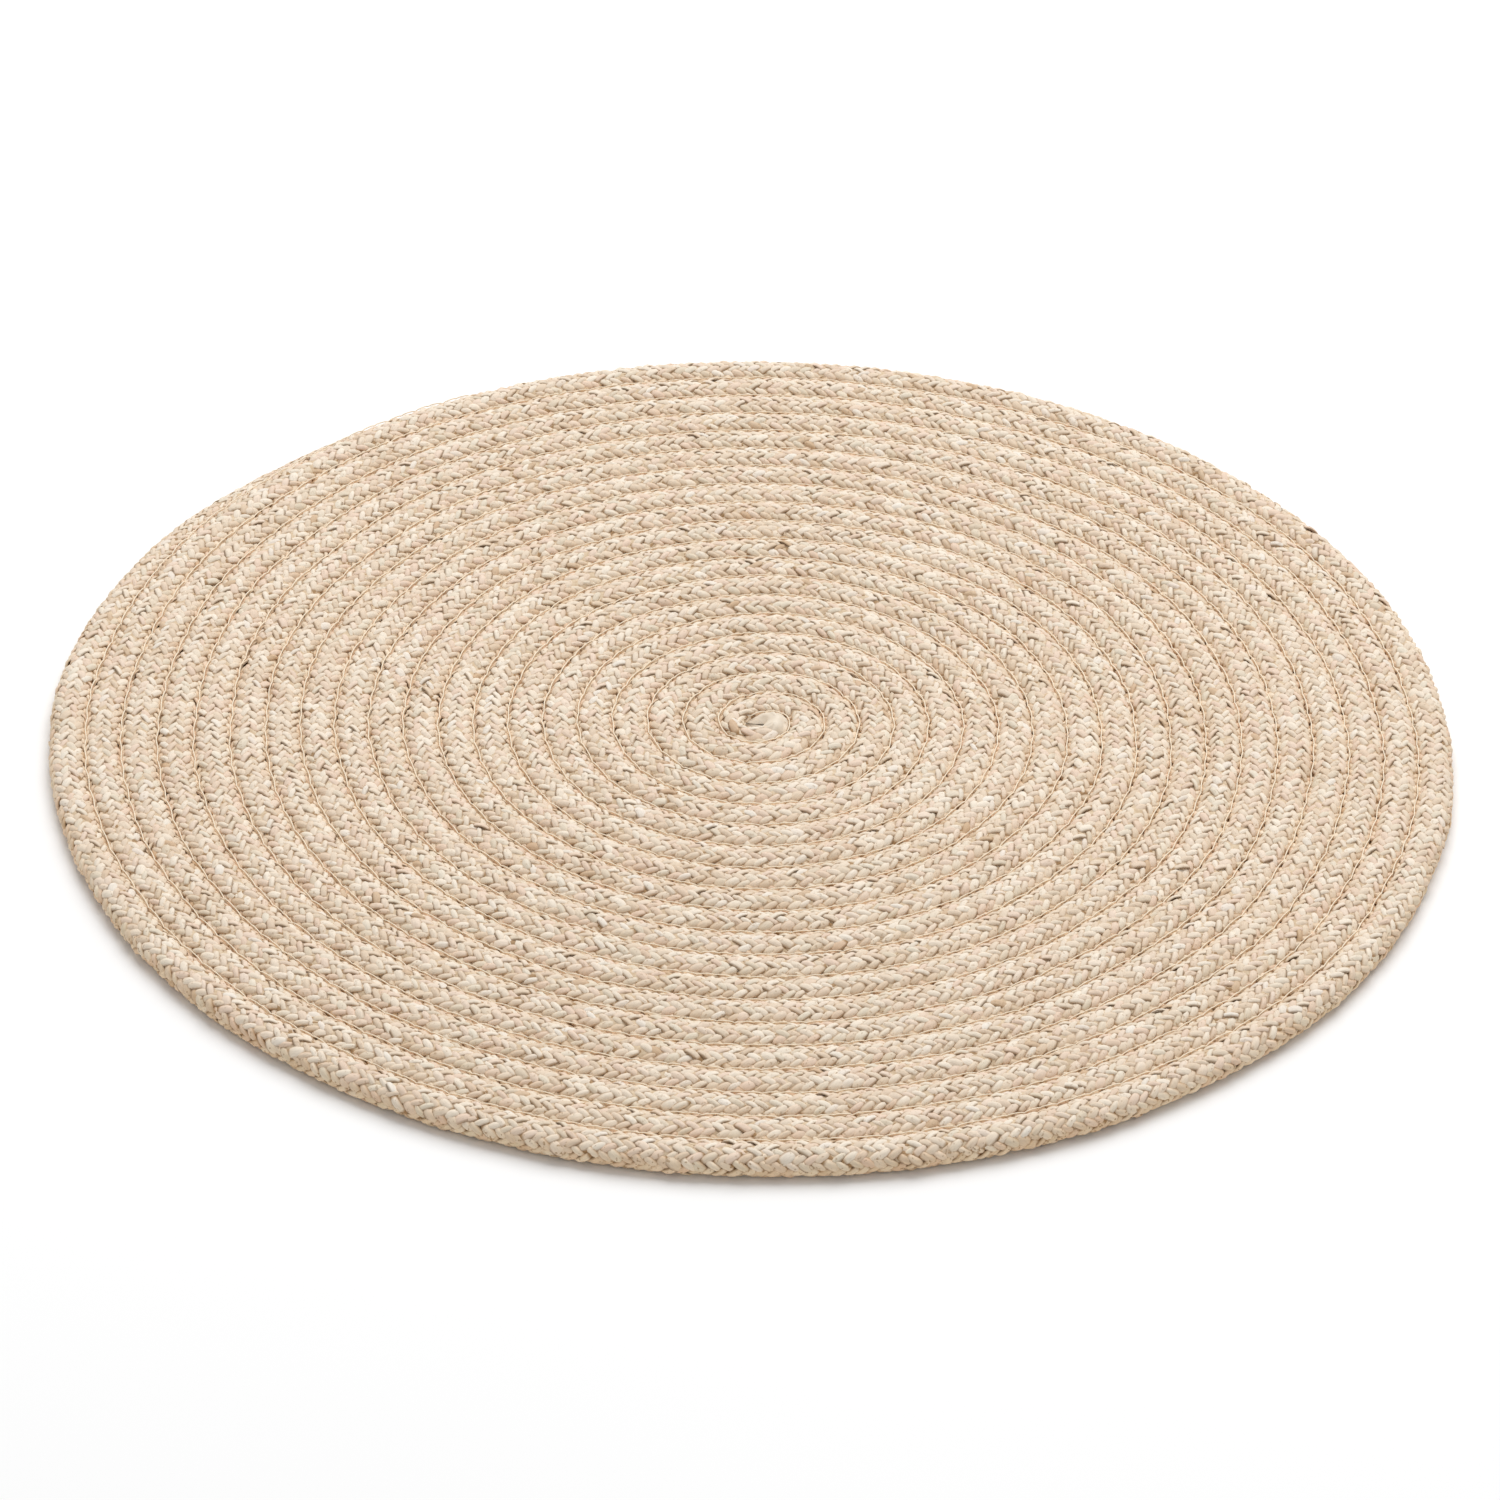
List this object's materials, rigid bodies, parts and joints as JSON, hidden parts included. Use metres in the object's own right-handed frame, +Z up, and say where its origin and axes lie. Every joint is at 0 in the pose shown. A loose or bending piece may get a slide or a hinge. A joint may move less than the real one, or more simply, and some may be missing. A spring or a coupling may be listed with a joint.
{
  "type": "area rug",
  "caption": "Round coiled area rug: a soft tubular braid over a filler core, wound flat from the middle and sewn to itself turn by turn.",
  "frame": {"origin": "middle of the rug's outline, on the floor", "axes": "+Z up from the floor, +X towards the side where the coil's head lies from its first bend, +Y towards the side with the braid's outer end"},
  "size_m": [0.8996, 0.8882, 0.017],
  "materials": {
    "braid_tape": "soft cream and beige tapes, satin-matt",
    "fold_tape": "smooth pale tape, satin-matt",
    "filler": "undyed fibre, matt",
    "sewing_thread": "tan twisted thread, matt"
  },
  "bodies": {
    "root": {"start_fold": "fold_tape", "braid_start": "braid_tape", "braid_turn_01": "braid_tape", "braid_turn_02": "braid_tape", "braid_turn_03": "braid_tape", "braid_turn_04": "braid_tape", "braid_turn_05": "braid_tape", "braid_turn_06": "braid_tape", "braid_turn_07": "braid_tape", "braid_turn_08": "braid_tape", "braid_turn_09": "braid_tape", "braid_turn_10": "braid_tape", "braid_turn_11": "braid_tape", "braid_turn_12": "braid_tape", "braid_turn_13": "braid_tape", "braid_turn_14": "braid_tape", "braid_turn_15": "braid_tape", "braid_turn_16": "braid_tape", "braid_turn_17": "braid_tape", "braid_turn_18": "braid_tape", "braid_turn_19": "braid_tape", "braid_last_half": "braid_tape", "braid_tail": "braid_tape", "filler_core": "filler", "needle_thread": "sewing_thread", "looper_thread": "sewing_thread", "tail_whipping": "sewing_thread"}
  },
  "joints": []
}
